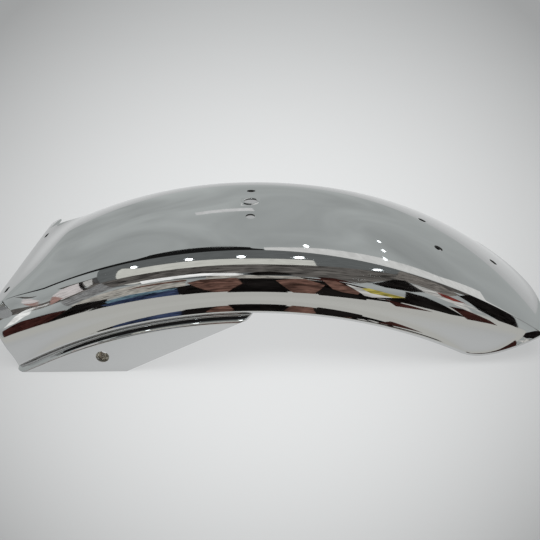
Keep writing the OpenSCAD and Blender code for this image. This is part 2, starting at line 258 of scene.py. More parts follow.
# %% [markdown]
# ## Holes and slots
# A hole is punched by taking out a patch of faces and growing the edge of the gap inward, ring by ring. Each
# new vertex is laid on the surface function, so the mirror stays smooth round the hole, where a boolean would
# leave long thin faces that show in chrome. The middle hole has a rim that is raised a little, and a slot is
# a hole whose rings are pulled apart sideways.

# %% Punch one hole
def lay_on_sheet(vert, height=0.0):
    """Puts a vertex on the sheet by its place on the blank, at a height along the surface normal."""
    arc, deg = vert[place][:2]
    around = np.array([[arc, deg, 1], [arc + MM, deg, 1], [arc, deg + 0.1, 1]])
    a, b, c = sheet_points(around[:, 0], around[:, 1], np.full(3, 2 * FLARE_W))
    normal = np.cross(c - a, b - a)
    normal = normal / np.linalg.norm(normal)
    vert.co = Vector(a) + height * Vector(normal if normal[2] > 0 else -normal)


def punch(mesh, arc, deg, rings, patch, stretch=0.0):
    """Cuts a hole. rings lists (radius, height) inward, patch is the half size of the cleared square."""
    scale, wide = 180 / math.pi / ARCH_R, float(widening(deg))

    def offset(vert):
        return (vert[place][0] - arc) * wide, (vert[place][1] - deg) / scale

    gone = [f for f in mesh.faces if all(
        abs(offset(v)[0]) <= patch + stretch and abs(offset(v)[1]) <= patch for v in f.verts)]
    loop = open_patch(mesh, gone)
    for vert in {v for e in loop for v in e.verts}:
        lay_on_sheet(vert)
    for radius, height in rings:
        ring, loop = grow(mesh, loop)
        for vert in ring:
            across, along = offset(vert)
            hold = min(max(across, -stretch), stretch)
            size = math.hypot(across - hold, along)
            vert[place] = (arc + (hold + (across - hold) * radius / size) / wide,
                           deg + along * radius / size * scale, 1)
            lay_on_sheet(vert, height)
    return len(ring)


# %% Punch the holes and slots
FIX_R, CENTRE_R, SLOT_R, SLOT_STRETCH = 3.25 * MM, 4.8 * MM, 1.4 * MM, 2.3 * MM
TOP_ARC, REAR_ARC, SLOT_ARC = 23.94 * MM, 22.13 * MM, 44.14 * MM
REAR_DEG, TAIL_HOLE_DEG, SLOT_DEG = 21.7, 30.8, -28.154
HOLE_PATCH, RIM_PATCH, SLOT_PATCH = 6.9 * MM, 9.6 * MM, 4.2 * MM
plain = [(FIX_R + 0.9 * MM, 0), (FIX_R, 0)]
raised = [(6.9 * MM, 0), (6.4 * MM, 0.12 * MM), (6.1 * MM, 0.5 * MM), (5.6 * MM, 0.7 * MM),
          (5.1 * MM, 0.62 * MM), (CENTRE_R, 0.35 * MM)]
slotted = [(SLOT_R + 0.6 * MM, 0), (SLOT_R, 0)]
sides = [punch(blade_mesh, 0, 0, raised, RIM_PATCH)]
for side in (-1, 1):
    sides.append(punch(blade_mesh, side * TOP_ARC, 0, plain, HOLE_PATCH))
    sides.append(punch(blade_mesh, side * REAR_ARC, REAR_DEG, plain, HOLE_PATCH))
    sides.append(punch(blade_mesh, side * SLOT_ARC, SLOT_DEG, slotted, SLOT_PATCH, SLOT_STRETCH))
sides.append(punch(blade_mesh, 0, TAIL_HOLE_DEG, plain, HOLE_PATCH))
print("vertices round each hole:", sides)

# %% [markdown]
# ## The rolled edge
# The edge of the sheet is rolled round into a tube, which stiffens it and leaves no sharp rim. The roll curls
# to the inside, so that the outer face runs on over it. The edge loop grows again and again, and each new
# loop is turned further round the middle of the roll.

# %% Roll the edge into a bead
blade_mesh.verts.ensure_lookup_table()
on_border = [e for e in blade_mesh.edges if e.is_boundary and all(v[place][2] < 1e-5 for v in e.verts)]
base = {v for e in on_border for v in e.verts}
roll = {}
for vert in base:
    near = [e.other_vert(vert) for e in vert.link_edges if e.is_boundary and e.other_vert(vert) in base]
    line = (near[0].co - near[1].co) if len(near) == 2 else (near[0].co - vert.co)
    normal = Vector(vert.normal)
    inner = sum((f.calc_center_median() for f in vert.link_faces), Vector()) / len(vert.link_faces)
    out = line.cross(normal).normalized()
    if out.dot(vert.co - inner) < 0:
        out = -out
    normal = out.cross(line).normalized()
    if normal.dot(vert.normal) < 0:
        normal = -normal
    roll[vert] = (vert.co - normal * BEAD_R, out, normal)
loop = on_border
for angle in range(75, -151, -15):   # from just past the outer face, over the edge and back inside
    fresh, loop = grow(blade_mesh, loop)
    turned = {}
    for vert in fresh:
        source = next(e.other_vert(vert) for e in vert.link_edges if e.other_vert(vert) in roll)
        turned[vert] = roll[source]
        middle, out, normal = roll[source]
        a = math.radians(angle)
        vert.co = middle + BEAD_R * (math.cos(a) * out + math.sin(a) * normal)
    roll = turned
face_out(blade_mesh, Vector((0, 0, 1)))
print("rolled edge:", len(loop), "segments round the blade")

# %% [markdown]
# ## Giving a sheet its thickness
# Solidify adds the inner face and Bevel takes the sharpness off the cut edges, as deburring does. Both
# are worked out once into a plain mesh, so that edges can then be marked sharp by their angle.

# %% Finish a sheet piece
def finish_sheet(name, mesh, thickness, bevel, material, inner=None):
    """Turns a bmesh skin into a sheet piece of that thickness with bevelled cut edges."""
    data = bpy.data.meshes.new(name)
    mesh.to_mesh(data)
    mesh.free()
    data.materials.append(material)
    data.materials.append(inner or material)
    piece = bpy.data.objects.new(name, data)
    bpy.context.scene.collection.objects.link(piece)
    if thickness:
        wall = piece.modifiers.new("wall", "SOLIDIFY")
        wall.thickness, wall.offset, wall.use_quality_normals = thickness, -1, True
        wall.material_offset = wall.material_offset_rim = 1 if inner else 0
    if bevel:
        soft = piece.modifiers.new("soft", "BEVEL")
        soft.width, soft.segments, soft.limit_method, soft.angle_limit = bevel, 2, "ANGLE", math.radians(50)
    final = bpy.data.meshes.new_from_object(piece.evaluated_get(bpy.context.evaluated_depsgraph_get()))
    piece.modifiers.clear()
    piece.data = final
    final.shade_smooth()
    final.set_sharp_from_angle(angle=math.radians(42))
    if not inner:
        final.materials.pop(index=1)
    inside = sum(p.material_index for p in final.polygons)
    print(name, "has", len(final.polygons), "faces,", inside, "on the inside")
    return piece


# %% [markdown]
# ## Chrome
# Chrome plate is a metal with almost no roughness and a faintly cool colour. A mirror of that kind looks
# right only if it is a little imperfect, so the finish takes soft smudges in its roughness and a very
# shallow waviness in its surface from one shared group.

# %% Shared finish group
def group_of(name, inputs, outputs):
    """A shader group with number inputs, each with its value, and number outputs."""
    group = bpy.data.node_groups.new(name, "ShaderNodeTree")
    for label, value in inputs:
        socket = group.interface.new_socket(name=label, in_out="INPUT", socket_type="NodeSocketFloat")
        socket.default_value = value
    for label in outputs:
        group.interface.new_socket(name=label, in_out="OUTPUT", socket_type="NodeSocketFloat")
    return group, group.nodes.new("NodeGroupInput"), group.nodes.new("NodeGroupOutput")


plating, plate_in, plate_out = group_of(
    "plating wear", [("Smudge Size", 40), ("Smudge Low", 0.03), ("Smudge High", 0.09), ("Wave Size", 30)],
    ["Roughness", "Wave"])
nodes, links = plating.nodes, plating.links
coords = nodes.new("ShaderNodeTexCoord")
smudge = nodes.new("ShaderNodeTexNoise")
smudge.inputs["Detail"].default_value = 5
spread = nodes.new("ShaderNodeMapRange")
spread.inputs["From Min"].default_value, spread.inputs["From Max"].default_value = 0.42, 0.75
wave = nodes.new("ShaderNodeTexNoise")
wave.inputs["Detail"].default_value = 1
links.new(coords.outputs["Object"], smudge.inputs["Vector"])
links.new(plate_in.outputs["Smudge Size"], smudge.inputs["Scale"])
links.new(smudge.outputs["Fac"], spread.inputs["Value"])
links.new(plate_in.outputs["Smudge Low"], spread.inputs["To Min"])
links.new(plate_in.outputs["Smudge High"], spread.inputs["To Max"])
links.new(spread.outputs["Result"], plate_out.inputs["Roughness"])
links.new(coords.outputs["Object"], wave.inputs["Vector"])
links.new(plate_in.outputs["Wave Size"], wave.inputs["Scale"])
links.new(wave.outputs["Fac"], plate_out.inputs["Wave"])
print("group:", plating.name)


# %% Chrome material
def metal(name, colour, low, high, smudge_size, wave_size, wave_depth):
    """A metal with smudges in its roughness and a shallow waviness."""
    material = bpy.data.materials.new(name)
    material.use_nodes = True
    tree = material.node_tree
    shader = tree.nodes["Principled BSDF"]
    shader.inputs["Base Color"].default_value = (*colour, 1)
    shader.inputs["Metallic"].default_value = 1
    wear = tree.nodes.new("ShaderNodeGroup")
    wear.node_tree = plating
    for label, value in (("Smudge Size", smudge_size), ("Smudge Low", low), ("Smudge High", high),
                         ("Wave Size", wave_size)):
        wear.inputs[label].default_value = value
    bump = tree.nodes.new("ShaderNodeBump")
    bump.inputs["Strength"].default_value = 1
    bump.inputs["Distance"].default_value = wave_depth
    tree.links.new(wear.outputs["Roughness"], shader.inputs["Roughness"])
    tree.links.new(wear.outputs["Wave"], bump.inputs["Height"])
    tree.links.new(bump.outputs["Normal"], shader.inputs["Normal"])
    return material


chrome = metal("chrome plate", (0.60, 0.605, 0.605), 0.015, 0.06, 38, 22, 0.00003)
dull_steel = metal("plated nut steel", (0.50, 0.47, 0.40), 0.25, 0.45, 300, 200, 0.00005)
# Thin dull plating for the inside and the cut edges; its near-black colour is painted shade under the arch
# and in the holes
painted_shade_inner_plate = metal("thin inner plating with painted shade", (0.08, 0.08, 0.077), 0.35, 0.55, 60, 60, 0.00005)
print("materials:", [m.name for m in (chrome, dull_steel, painted_shade_inner_plate)])

# %% [markdown]
# ## The blade
# The blade is the rolled skin with the sheet's thickness. Its inner face and cut edges keep a thin dull
# plating, painted near black as shade under the arch and inside the holes.

# %% Blade
blade = finish_sheet("pressed_blade", blade_mesh, SHEET_T, 0.22 * MM, chrome, painted_shade_inner_plate)
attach(blade, "root")
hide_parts("mudguard_blade")

# %% [markdown]
# ## The ears of the front flange
# The flat front flange reaches out past the crown in two round-ended ears. Each one starts as a circle,
# whose inner half is slid in under the crown, and is then given its thickness.

# %% Ears
EAR_LEN, EAR_SPAN, EAR_UNDER, EAR_SINK = 11.5 * MM, 154 * MM, 8 * MM, 0.12 * MM
FLANGE_R = ARCH_R - FLANGE_DROP
ear_root, ear_end = CROWN_HALF - EAR_UNDER, EAR_SPAN / 2 - EAR_LEN / 2
for side, label in ((-1, "left_ear"), (1, "right_ear")):
    ear_mesh = bmesh.new()
    ring = bmesh.ops.create_circle(ear_mesh, cap_ends=True, segments=40, radius=EAR_LEN / 2)["verts"]
    for vert in ring:
        vert.co.y += ear_end
        if vert.co.y < ear_end - 0.01 * MM:
            vert.co.y = ear_root
            vert.co.x = math.copysign(EAR_LEN / 2, vert.co.x)
        vert.co.y *= side
    bmesh.ops.remove_doubles(ear_mesh, verts=ear_mesh.verts, dist=0.01 * MM)
    tilt = -math.radians(FRONT_DEG) + EAR_LEN / 2 / FLANGE_R
    put = (Matrix.Translation(AXLE) @ Matrix.Rotation(tilt, 4, "Y")
           @ Matrix.Translation((0, 0, FLANGE_R - EAR_SINK)))
    bmesh.ops.transform(ear_mesh, matrix=put, verts=ear_mesh.verts)
    face_out(ear_mesh, Vector((0, 0, 1)))
    ear = finish_sheet(label, ear_mesh, SHEET_T, 0.3 * MM, chrome)
    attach(ear, "root")
    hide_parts("mudguard_blade")

# %% [markdown]
# ## The side plates
# Each side plate is cut from thicker sheet. Its top strip is welded inside the shoulder, and a joggle then
# carries it outward to its flat face. It is a grid again: columns follow the arch, and rows follow the
# plate's own section down to its outline.

# %% Section of the side plate
PLATE_T, STRIP_INSET, STRIP_TOP = 2.5 * MM, 1.4 * MM, 28
STEP_TOP_R, STEP_LOW_R, PLATE_Y = 315.4 * MM, 311.8 * MM, 83.4705 * MM
BASE_H, PLATE_REAR = 273.271 * MM, 82.544 * MM
SLOPE_DEG, END_DEG = 26.2, 2.4
CORNER, CORNER_FROM, CORNER_BACK = 6.4 * MM, 24, 1.4 * MM
HOLE_X, HOLE_H, HOLE_R = 97.1215 * MM, 12.0216 * MM, 4.3 * MM

strip = []
for high in np.linspace(STRIP_TOP, SIDE_DEG, 9):
    across, drop = raw_section(CROWN_ARC + SHOULDER_R * np.radians(SHOULDER_TOP - high))
    strip.append((ARCH_R - float(drop) - STRIP_INSET * math.sin(math.radians(high)),
                  float(across) - STRIP_INSET * math.cos(math.radians(high))))
wall = np.array(strip + [(STEP_TOP_R, strip[-1][1]), (STEP_LOW_R, PLATE_Y), (BASE_H - 30 * MM, PLATE_Y)])
wall_run = np.concatenate([[0], np.cumsum(np.linalg.norm(np.diff(wall, axis=0), axis=1))])


def wall_at(run, soft=1.3 * MM):
    """Radius and distance across at a run down the plate's section, with the press bends rounded."""
    spread = np.linspace(-1, 1, 9) * min(soft, run)
    return (float(np.mean(np.interp(run + spread, wall_run, wall[:, 0]))),
            float(np.mean(np.interp(run + spread, wall_run, wall[:, 1]))))


fine = np.linspace(0, wall_run[-1], 1500)
fine_r = np.array([wall_at(r)[0] for r in fine])
flat_run = float(np.interp(-(STEP_LOW_R - 2 * MM), -fine_r, fine))


def low_radius(deg):
    """Radius at which the outline of the plate cuts the line at an angle behind the top."""
    turn = math.radians(deg)
    bottom = BASE_H / math.cos(turn)
    slope = math.tan(math.radians(SLOPE_DEG))
    slant = (BASE_H + PLATE_REAR * slope) / (math.cos(turn) - slope * math.sin(turn))
    return max(bottom, slant)


corner_deg = -math.degrees(math.atan(PLATE_REAR / BASE_H))
rows_up, rows_down = 46, 30                       # rows above and below the start of the flat face
hole_deg = -math.degrees(math.atan(HOLE_X / (BASE_H + HOLE_H)))
low_run = float(np.interp(-low_radius(hole_deg), -fine_r, fine))
hole_run = float(np.interp(-math.hypot(HOLE_X, BASE_H + HOLE_H), -fine_r, fine))
hole_row = rows_up + rows_down * (hole_run - flat_run) / (low_run - flat_run)
PATCH_DEG, PATCH_ROWS = 1.45, 10.5                # half size of the patch that is opened for the hole
print("rear corner of the plate at", round(corner_deg, 2), "degrees")

# %% Build both side plates
plate_columns = spaced((-FRONT_DEG, corner_deg, 44), (corner_deg, END_DEG, 66))
columns_n, rows_n = len(plate_columns) - 1, rows_up + rows_down
front_slope = math.tan(math.radians(FRONT_DEG))
for side, label in ((-1, "left"), (1, "right")):
    plate_mesh = bmesh.new()
    grid_place = plate_mesh.verts.layers.float_vector.new("grid place")
    bmesh.ops.create_grid(plate_mesh, x_segments=columns_n, y_segments=rows_n, size=1)
    for vert in plate_mesh.verts:
        deg = float(plate_columns[round((vert.co.x + 1) / 2 * columns_n)])
        row = round((1 - vert.co.y) / 2 * rows_n)
        whole = float(np.interp(-low_radius(deg), -fine_r, fine))
        upper = min(flat_run, whole)
        run = upper * row / rows_up
        if row > rows_up:
            run = upper + (whole - upper) * (row - rows_up) / rows_down
        radius, across = wall_at(run)
        turn = math.radians(deg)
        x, z = radius * math.sin(turn), radius * math.cos(turn)
        if z < BASE_H + CORNER and deg < -CORNER_FROM:
            pull = (BASE_H + CORNER - z) / CORNER
            front = -(BASE_H + CORNER) * front_slope + CORNER_BACK * pull
            x += (front + z * front_slope) * (-CORNER_FROM - deg) / (FRONT_DEG - CORNER_FROM)
        vert.co = (x + AXLE.x, side * across, z + AXLE.z)
        vert[grid_place] = (deg * MM, row * MM, 0)
    bmesh.ops.remove_doubles(plate_mesh, verts=plate_mesh.verts, dist=0.02 * MM)
    gone = [f for f in plate_mesh.faces if all(
        abs(v[grid_place][0] / MM - hole_deg) < PATCH_DEG
        and abs(v[grid_place][1] / MM - hole_row) < PATCH_ROWS for v in f.verts)]
    loop = open_patch(plate_mesh, gone)
    middle = Vector((AXLE.x - HOLE_X, side * PLATE_Y, HOLE_H))
    for radius in (HOLE_R + 1.0 * MM, HOLE_R):
        ring, loop = grow(plate_mesh, loop)
        for vert in ring:
            vert.co = middle + (vert.co - middle).normalized() * radius
    face_out(plate_mesh, Vector((0, side, 0)))
    plate = finish_sheet(label + "_plate", plate_mesh, PLATE_T, 0.35 * MM, chrome)
    print(label, "plate:", len(ring), "vertices round its hole")
    for vert in plate.data.vertices:   # the cut edge stands level on the base
        vert.co.z = max(vert.co.z, 0)
    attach(plate, "root")
    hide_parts(label + "_side_plate")

# %% [markdown]
# ## The weld nuts
# A hexagon nut is welded behind each plate hole. Its bore starts as a circle, which grows outward to the
# hexagon and is then extruded. The thread is a small V that is spun round while it climbs.

# %% Nuts with a real thread
NUT_AF, NUT_H, THREAD_R, MAJOR_R, PITCH = 13 * MM, 6.5 * MM, 3.4 * MM, 4.0 * MM, 1.25 * MM
ROOT_HALF, TIP_HALF, TURNS, TURN_STEPS = 0.62 * MM, 0.08 * MM, 5, 40
thread_root = MAJOR_R + 0.05 * MM
for side, label in ((-1, "left"), (1, "right")):
    body = bmesh.new()
    bmesh.ops.create_circle(body, segments=48, radius=MAJOR_R)
    for vert in grow(body, body.edges[:])[0]:
        turn = math.atan2(vert.co.y, vert.co.x)
        sixth = turn % (math.pi / 3) - math.pi / 6
        reach = NUT_AF / 2 / math.cos(sixth)
        vert.co.x, vert.co.y = reach * math.cos(turn), reach * math.sin(turn)
    solid = bmesh.ops.extrude_face_region(body, geom=body.faces[:])["geom"]
    far = [g for g in solid if isinstance(g, bmesh.types.BMVert)]
    bmesh.ops.translate(body, vec=(0, 0, NUT_H), verts=far)
    bmesh.ops.recalc_face_normals(body, faces=body.faces)
    thread = bmesh.new()
    start = [thread.verts.new((r, 0, z)) for r, z in ((thread_root, -ROOT_HALF), (THREAD_R, -TIP_HALF),
                                                      (THREAD_R, TIP_HALF), (thread_root, ROOT_HALF))]
    profile = start + [thread.edges.new(pair) for pair in zip(start, start[1:])]
    bmesh.ops.spin(thread, geom=profile, axis=(0, 0, 1), cent=(0, 0, 0), dvec=(0, 0, PITCH / TURN_STEPS),
                   angle=2 * math.pi * TURNS, steps=TURN_STEPS * TURNS)
    bmesh.ops.recalc_face_normals(thread, faces=thread.faces)
    bmesh.ops.translate(thread, vec=(0, 0, ROOT_HALF), verts=thread.verts)
    for vert in thread.verts:
        vert.co.z = min(max(vert.co.z, 0), NUT_H)
    extra = bpy.data.meshes.new("thread")
    thread.to_mesh(extra)
    thread.free()
    body.from_mesh(extra)
    put = (Matrix.Translation((AXLE.x - HOLE_X, side * (PLATE_Y - PLATE_T), HOLE_H))
           @ Matrix.Rotation(math.pi / 2 * side, 4, "X"))
    bmesh.ops.transform(body, matrix=put, verts=body.verts)
    nut = finish_sheet(label + "_nut", body, 0, 0, dull_steel)
    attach(nut, "root")
    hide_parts(label + "_weld_nut")

# %% [markdown]
# ## The studio
# A mirror shows nothing but its surroundings, so the room is what makes chrome look like chrome. A pale
# floor carries the part. The sky is a soft grey. Overhead hang a dark ceiling with a pale panel, a row of
# small round lamps and two beams, and in front stand cards that give the shoulder its bands and streaks.
# The cards are seen only in the chrome: they are hidden from the camera and cast no light or shadow.

# %% Stage helpers
def glow(name, colour, strength, change=0.12, size=6):
    """A softly uneven glowing card paint."""
    material = bpy.data.materials.new(name)
    material.use_nodes = True
    tree = material.node_tree
    tree.nodes.clear()
    out = tree.nodes.new("ShaderNodeOutputMaterial")
    shine = tree.nodes.new("ShaderNodeEmission")
    shine.inputs["Color"].default_value = (*colour, 1)
    noise = tree.nodes.new("ShaderNodeTexNoise")
    noise.inputs["Scale"].default_value, noise.inputs["Detail"].default_value = size, 6
    noise.inputs["Distortion"].default_value = 1.5
    level = tree.nodes.new("ShaderNodeMapRange")
    level.inputs["From Min"].default_value, level.inputs["From Max"].default_value = 0.3, 0.7
    level.inputs["To Min"].default_value = strength * (1 - change)
    level.inputs["To Max"].default_value = strength * (1 + change)
    where = tree.nodes.new("ShaderNodeTexCoord")
    tree.links.new(where.outputs["Object"], noise.inputs["Vector"])
    tree.links.new(noise.outputs["Fac"], level.inputs["Value"])
    tree.links.new(level.outputs["Result"], shine.inputs["Strength"])
    tree.links.new(shine.outputs["Emission"], out.inputs["Surface"])
    return material


def card(name, corners, material, across="y", at=0.0):
    """A flat card. Its corners are (x, z) on an upright plane at y, or (x, y) on a level plane at z."""
    mesh = bmesh.new()
    verts = [mesh.verts.new((a, at, b) if across == "y" else (a, b, at)) for a, b in corners]
    bmesh.ops.contextual_create(mesh, geom=verts)
    data = bpy.data.meshes.new(name)
    mesh.to_mesh(data)
    mesh.free()
    made = bpy.data.objects.new(name, data)
    bpy.context.scene.collection.objects.link(made)
    data.materials.append(material)
    made.visible_camera = made.visible_diffuse = made.visible_shadow = False
    return made


def lamp_disc(name, x, y, wide, long, z, material):
    """A small oval lamp face below the ceiling."""
    turn = [2 * math.pi * n / 24 for n in range(24)]
    return card(name, [(x + wide * math.cos(t), y + long * math.sin(t)) for t in turn], material, "z", z)


# %% [markdown]
# ## A pale floor with a painted pool of light
# The floor is brightest round the part and falls off to the sides, as paper does under one soft lamp: a pool
# of light painted into the floor's glow and colour. The painted pool is laid out round, as seen from the
# photographer's place, in the floor's own coordinates. Most of the brightness is the floor's own, for camera
# rays and for the rays that chrome mirrors. The rest is lit, so that it keeps the part's soft shadow. The
# stretch in front, which only the chrome sees, is brighter.

# %% Floor
def step(tree, operation, *values):
    """One Math node; each input is a number or a socket."""
    node = tree.nodes.new("ShaderNodeMath")
    node.operation = operation
    for socket, value in zip(node.inputs, values):
        if isinstance(value, (int, float)):
            socket.default_value = value
        else:
            tree.links.new(value, socket)
    return node.outputs[0]


# The photographer's place, in metres, and how the camera is tilted and turned, in degrees
EYE_X, EYE_Y, EYE_H, EYE_TILT, EYE_TURN = -0.01574, -0.40463, 0.24948, 61.58, -0.892
# The painted pool of light on the floor: its brightest level, how fast it falls off, its least level and its
# shift
PAINTED_POOL_TOP, PAINTED_POOL_FALL, PAINTED_POOL_LEAST, PAINTED_POOL_SHIFT = 0.835, 1.12, 0.40, 0.03
FRONT_FROM, FRONT_TO = -0.12, -0.21
OWN_SHARE, MIRROR_LEAST, MIRROR_FRONT = 0.74, 0.50, 0.52
ALBEDO, ALBEDO_CHANGE = 0.27, 0.02
tilt, turn = math.radians(EYE_TILT), math.radians(EYE_TURN)
floor_paint = bpy.data.materials.new("pale floor")
floor_paint.use_nodes = True
tree = floor_paint.node_tree
tree.nodes.clear()
where = tree.nodes.new("ShaderNodeTexCoord")
split = tree.nodes.new("ShaderNodeSeparateXYZ")
tree.links.new(where.outputs["Object"], split.inputs[0])
ahead = step(tree, "ADD", split.outputs["Y"], -EYE_Y)
depth = step(tree, "MULTIPLY_ADD", ahead, math.sin(tilt), EYE_H * math.cos(tilt))
depth = step(tree, "MAXIMUM", depth, 0.1)
aside = step(tree, "SUBTRACT", step(tree, "ADD", split.outputs["X"], -EYE_X),
             step(tree, "MULTIPLY", ahead, -math.tan(turn)))
wide = step(tree, "DIVIDE", aside, depth)
rise = step(tree, "SUBTRACT", step(tree, "MULTIPLY", ahead, math.cos(tilt)), EYE_H * math.sin(tilt))
high = step(tree, "ADD", step(tree, "DIVIDE", rise, depth), PAINTED_POOL_SHIFT)
away = step(tree, "ADD", step(tree, "MULTIPLY", wide, wide), step(tree, "MULTIPLY", high, high))
# Painted pool of light: the floor's glow falls off away from the middle
level = step(tree, "SUBTRACT", PAINTED_POOL_TOP, step(tree, "MULTIPLY", away, PAINTED_POOL_FALL))
level = step(tree, "MAXIMUM", level, PAINTED_POOL_LEAST)
front = tree.nodes.new("ShaderNodeMapRange")
front.interpolation_type = "SMOOTHSTEP"
for label, value in (("From Min", FRONT_FROM), ("From Max", FRONT_TO), ("To Min", 0), ("To Max", 1)):
    front.inputs[label].default_value = value
tree.links.new(split.outputs["Y"], front.inputs["Value"])
own = step(tree, "MULTIPLY", level, OWN_SHARE)
near = step(tree, "MAXIMUM", own, MIRROR_LEAST)
gain = step(tree, "SUBTRACT", MIRROR_FRONT, near)
mirrored = step(tree, "MULTIPLY_ADD", gain, front.outputs["Result"], near)
rays = tree.nodes.new("ShaderNodeLightPath")
seen = step(tree, "MAXIMUM", rays.outputs["Is Camera Ray"], rays.outputs["Is Transmission Ray"])
strength = step(tree, "ADD", step(tree, "MULTIPLY", own, seen),
                step(tree, "MULTIPLY", mirrored, rays.outputs["Is Glossy Ray"]))
tint = tree.nodes.new("ShaderNodeMix")
tint.data_type = "RGBA"
tint.inputs["A"].default_value = (0.985, 0.995, 1.0, 1)
tint.inputs["B"].default_value = (1.0, 0.985, 0.92, 1)
warmth = step(tree, "MULTIPLY", front.outputs["Result"], rays.outputs["Is Glossy Ray"])
tree.links.new(warmth, tint.inputs["Factor"])
shine = tree.nodes.new("ShaderNodeEmission")
tree.links.new(tint.outputs["Result"], shine.inputs["Color"])
tree.links.new(strength, shine.inputs["Strength"])
noise = tree.nodes.new("ShaderNodeTexNoise")
noise.inputs["Scale"].default_value = 3
tree.links.new(where.outputs["Object"], noise.inputs["Vector"])
albedo = step(tree, "MULTIPLY_ADD", noise.outputs["Fac"], ALBEDO_CHANGE, ALBEDO)
# The painted pool of light darkens the lit floor colour toward the sides as well
albedo = step(tree, "MULTIPLY", level, albedo)
paper = tree.nodes.new("ShaderNodeBsdfDiffuse")
tree.links.new(albedo, paper.inputs["Color"])
both = tree.nodes.new("ShaderNodeAddShader")
out = tree.nodes.new("ShaderNodeOutputMaterial")
tree.links.new(shine.outputs["Emission"], both.inputs[0])
tree.links.new(paper.outputs["BSDF"], both.inputs[1])
tree.links.new(both.outputs["Shader"], out.inputs["Surface"])
floor = card("floor", [(-6, -6), (6, -6), (6, 6), (-6, 6)], floor_paint, "z", 0)
floor.visible_camera = floor.visible_diffuse = floor.visible_shadow = True
print("floor material:", len(tree.nodes), "nodes")

# %% Ceiling, panel, lamps and beams
CEILING_H, PANEL_H, SPOT_H, BEAM_H = 1.68, 1.67, 1.655, 1.70
card("ceiling", [(-1.38, 0.0), (-1.405, -0.169), (-1.486, -0.758), (-1.618, -1.61), (-1.758, -2.441),
                 (-0.9, -3.2), (0.66, -3.4), (1.547, -3.814), (1.181, -1.803), (1.069, -0.411), (1.06, 0.0)],
     glow("ceiling grey", (0.94, 1.0, 1.0), 0.17), "z", CEILING_H)
card("pale panel", [(-1.541, -2.316), (-1.4, -1.532), (-1.289, -0.947), (-1.196, -0.517), (-1.141, -0.407),
                    (-0.995, -0.661), (-0.619, -0.688), (-0.138, -0.742), (0.38, -0.767), (0.473, -1.509),
                    (0.503, -2.127), (0.192, -2.012), (-0.227, -2.247), (-0.597, -2.145), (-0.946, -2.256),
                    (-1.245, -2.453), (-1.484, -2.587)],
     glow("panel cream", (1.0, 1.0, 0.92), 0.80), "z", PANEL_H)
lamp_white = glow("lamp white", (0.9, 0.97, 1.0), 9, 0.05)
for n, (x, y, long) in enumerate([(-1.02, -0.486, 0.08), (-0.53, -0.546, 0.08), (-0.123, -0.6, 0.08),
                                  (0.267, -0.598, 0.08), (0.91, -1.044, 0.1), (1.013, -2.0, 0.14),
                                  (1.124, -2.895, 0.16)]):
    lamp_disc(f"spot {n}", x, y, 0.032, long, SPOT_H, lamp_white)
for n, (x, y) in enumerate([(1.369, 2.247), (1.322, 1.872), (1.256, 1.567), (0.407, 1.234)]):
    lamp_disc(f"small spot {n}", x, y, 0.022, 0.03, CEILING_H, lamp_white)
card("dark beam", [(-2.6, 0.0), (-2.6, 0.4), (-1.9, 0.95), (-1.6, 1.28), (-1.0, 1.30), (-0.6, 1.215),
                   (-0.24, 1.14), (-0.06, 1.108), (0.04, 0.55), (0.04, 0.0)],
     glow("beam black", (1, 1, 1), 0.012), "z", BEAM_H)
card("white beam", [(0.045, 0.0), (0.05, 1.1), (0.269, 1.153), (0.54, 1.256), (0.841, 1.376), (1.196, 1.552),
                    (1.493, 1.701), (2.281, 2.132), (3.971, 3.39), (3.97, 0.0)],
     glow("beam white", (1, 1, 0.98), 0.85), "z", BEAM_H)
card("light tube", [(-0.656, 1.445), (-0.06, 1.445), (-0.032, 1.592), (-0.667, 1.58)],
     glow("tube white", (1, 1, 1), 0.80), "y", 2.55)

# %% [markdown]
# ## Cards in front
# The shoulder is a tall narrow mirror: it squeezes whatever stands in front into streaks. Plain cards of
# mixed greys, creams, blacks and a few colours, each on its own upright plane, give it that liveliness.

# %% Cards that the shoulder mirrors
paints = {
    "room": glow("card room", (1, 0.93, 0.86), 0.12, 0.95, 5),
    "pale": glow("card pale", (1, 0.98, 0.94), 0.62, 0.55, 9),
    "pink": glow("card pale pink", (1, 0.93, 0.92), 0.78, 0.35, 6),
    "white": glow("card white", (1, 1, 0.98), 1.1, 0.35, 8),
    "beige": glow("card beige", (1, 0.95, 0.86), 0.46, 0.65, 10),
    "mid": glow("card mid grey", (1, 1, 1), 0.26, 0.8, 12),
    "dark": glow("card dark grey", (1, 1, 1), 0.10, 0.7, 12),
    "warm": glow("card brown grey", (1, 0.92, 0.84), 0.22, 0.7, 9),
    "black": glow("card black", (1, 0.85, 0.8), 0.009, 0.95, 9),
    "maroon": glow("card dark red", (1, 0.36, 0.30), 0.045, 1.0, 14),
    "brown": glow("card brown", (1.0, 0.54, 0.42), 0.15, 0.9, 22),
    "rose": glow("card rose", (1.0, 0.62, 0.55), 0.42, 0.5, 16),
    "blue": glow("card blue", (0.30, 0.42, 0.85), 0.12, 1.0, 26),
    "teal": glow("card teal", (0.50, 0.80, 1.0), 0.32, 0.9, 26),
    "yellow": glow("card yellow", (1.0, 0.85, 0.20), 0.50, 0.7, 30),
    "red": glow("card red", (1.0, 0.20, 0.15), 0.20, 0.7, 14),
}
